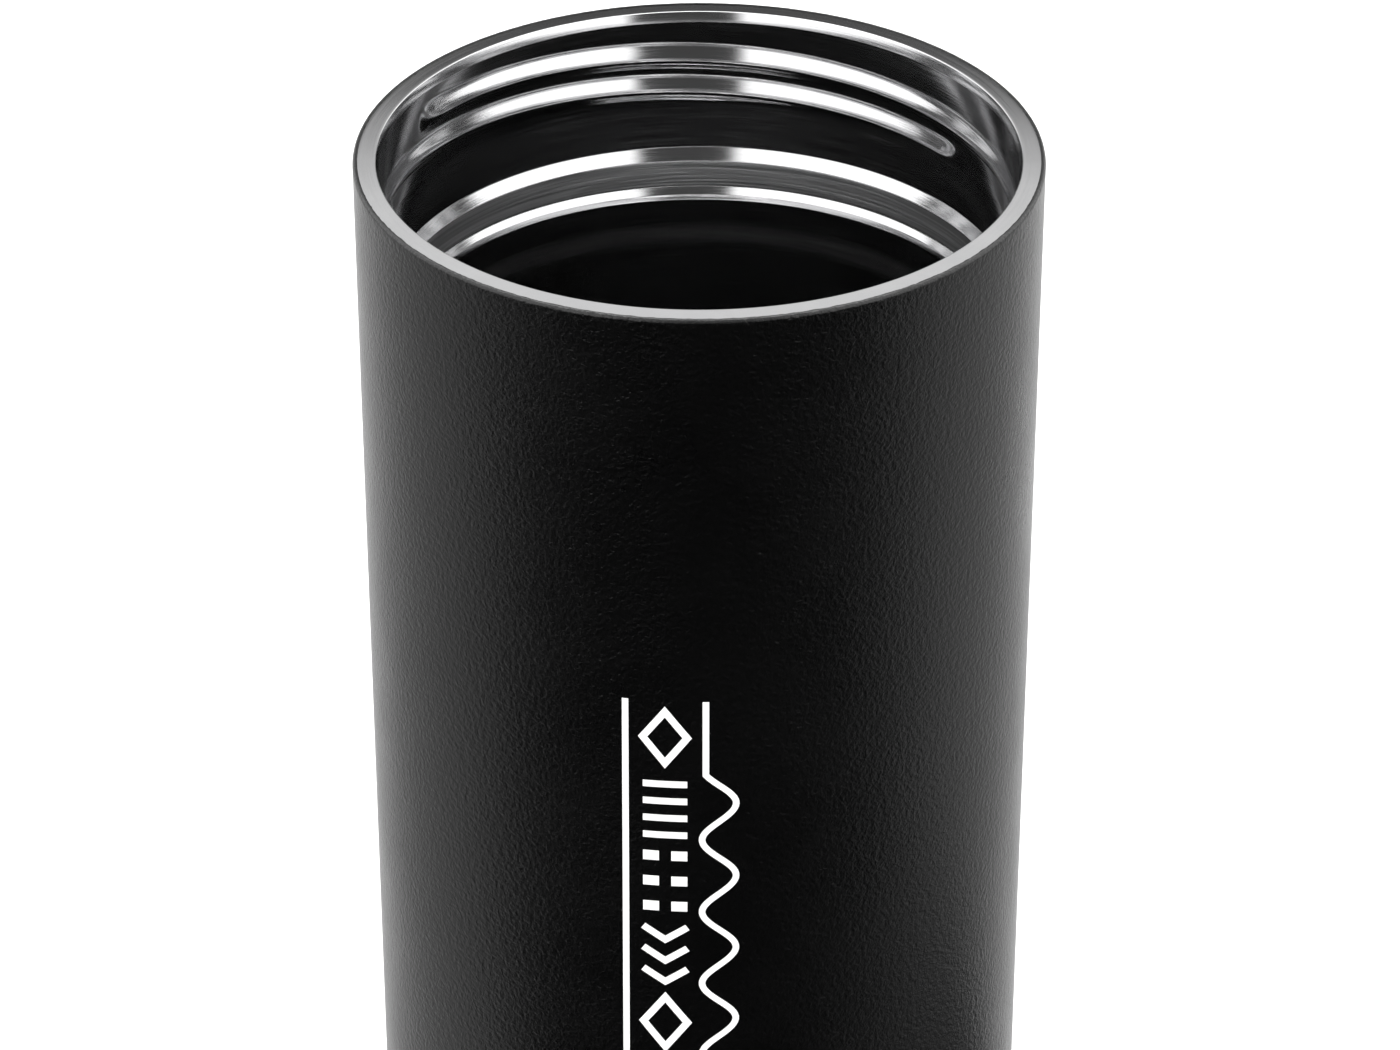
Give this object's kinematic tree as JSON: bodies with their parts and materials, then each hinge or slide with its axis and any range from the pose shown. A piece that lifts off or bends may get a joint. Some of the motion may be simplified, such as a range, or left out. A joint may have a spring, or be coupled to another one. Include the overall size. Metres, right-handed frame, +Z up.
{
  "type": "insulated tumbler with lid",
  "caption": "Tall tapered double-wall steel tumbler with a bare rim and inside screw thread, and its push-button screw lid standing beside it.",
  "frame": {"origin": "centre of the tumbler's foot pad, on the surface that it stands on", "axes": "+Z up along the tumbler's axis, -Y towards the printed front, +X towards the lid that stands beside it"},
  "size_m": [0.158, 0.073, 0.185],
  "materials": {
    "powder_coat": "fine-textured satin black powder coat",
    "liner_steel": "turned and drawn bare stainless steel",
    "spring_steel": "bright drawn stainless steel",
    "black_plastic": "fine-grained matt black polypropylene",
    "white_acetal": "satin natural acetal",
    "silicone": "matt dark grey silicone",
    "getter_alloy": "dull sintered alloy",
    "solder_glass": "glossy dark solder glass",
    "white_print": "thin satin white print"
  },
  "bodies": {
    "tumbler": {"outer_shell": "powder_coat", "inner_liner": "liner_steel", "base_dish": "liner_steel", "port_seal": "solder_glass", "getter_pellet": "getter_alloy", "getter_clip": "spring_steel", "foot_pad": "silicone"},
    "lid": {"lid_collar": "black_plastic", "collar_seal": "silicone", "spider_frame": "white_acetal", "top_cover": "black_plastic", "cover_screw_1": "spring_steel", "cover_screw_2": "spring_steel", "cover_screw_3": "spring_steel", "wiper_ring": "silicone", "valve_spring": "spring_steel"},
    "button": {"button_cap": "black_plastic"},
    "valve": {"valve_stem": "spring_steel", "valve_disc": "black_plastic", "valve_gasket": "silicone", "stem_screw": "spring_steel"},
    "rotor": {"click_rotor": "white_acetal"}
  },
  "joints": [
    {"name": "lid_lift", "type": "slide", "parent": "tumbler", "child": "lid", "axis": [0, 0, 1], "range_m": [0, 0.2]},
    {"name": "button_press", "type": "slide", "parent": "lid", "child": "button", "axis": [0, 0, -1], "range_m": [0, 0.0045], "stiffness_N_per_m": 900},
    {"name": "valve_drop", "type": "slide", "parent": "lid", "child": "valve", "axis": [0, 0, -1], "range_m": [0, 0.004], "deforming": ["valve_spring"]},
    {"name": "rotor_turn", "type": "hinge", "parent": "valve", "child": "rotor", "pos_m": [0.085, 0, 0.02], "axis": [0, 0, 1], "range_deg": [0, 45]}
  ],
  "couplings": [
    {"joint": "valve_drop", "follows": "button_press", "ratio": 0.8888},
    {"joint": "rotor_turn", "follows": "button_press", "rad_per_m": 174.5}
  ]
}
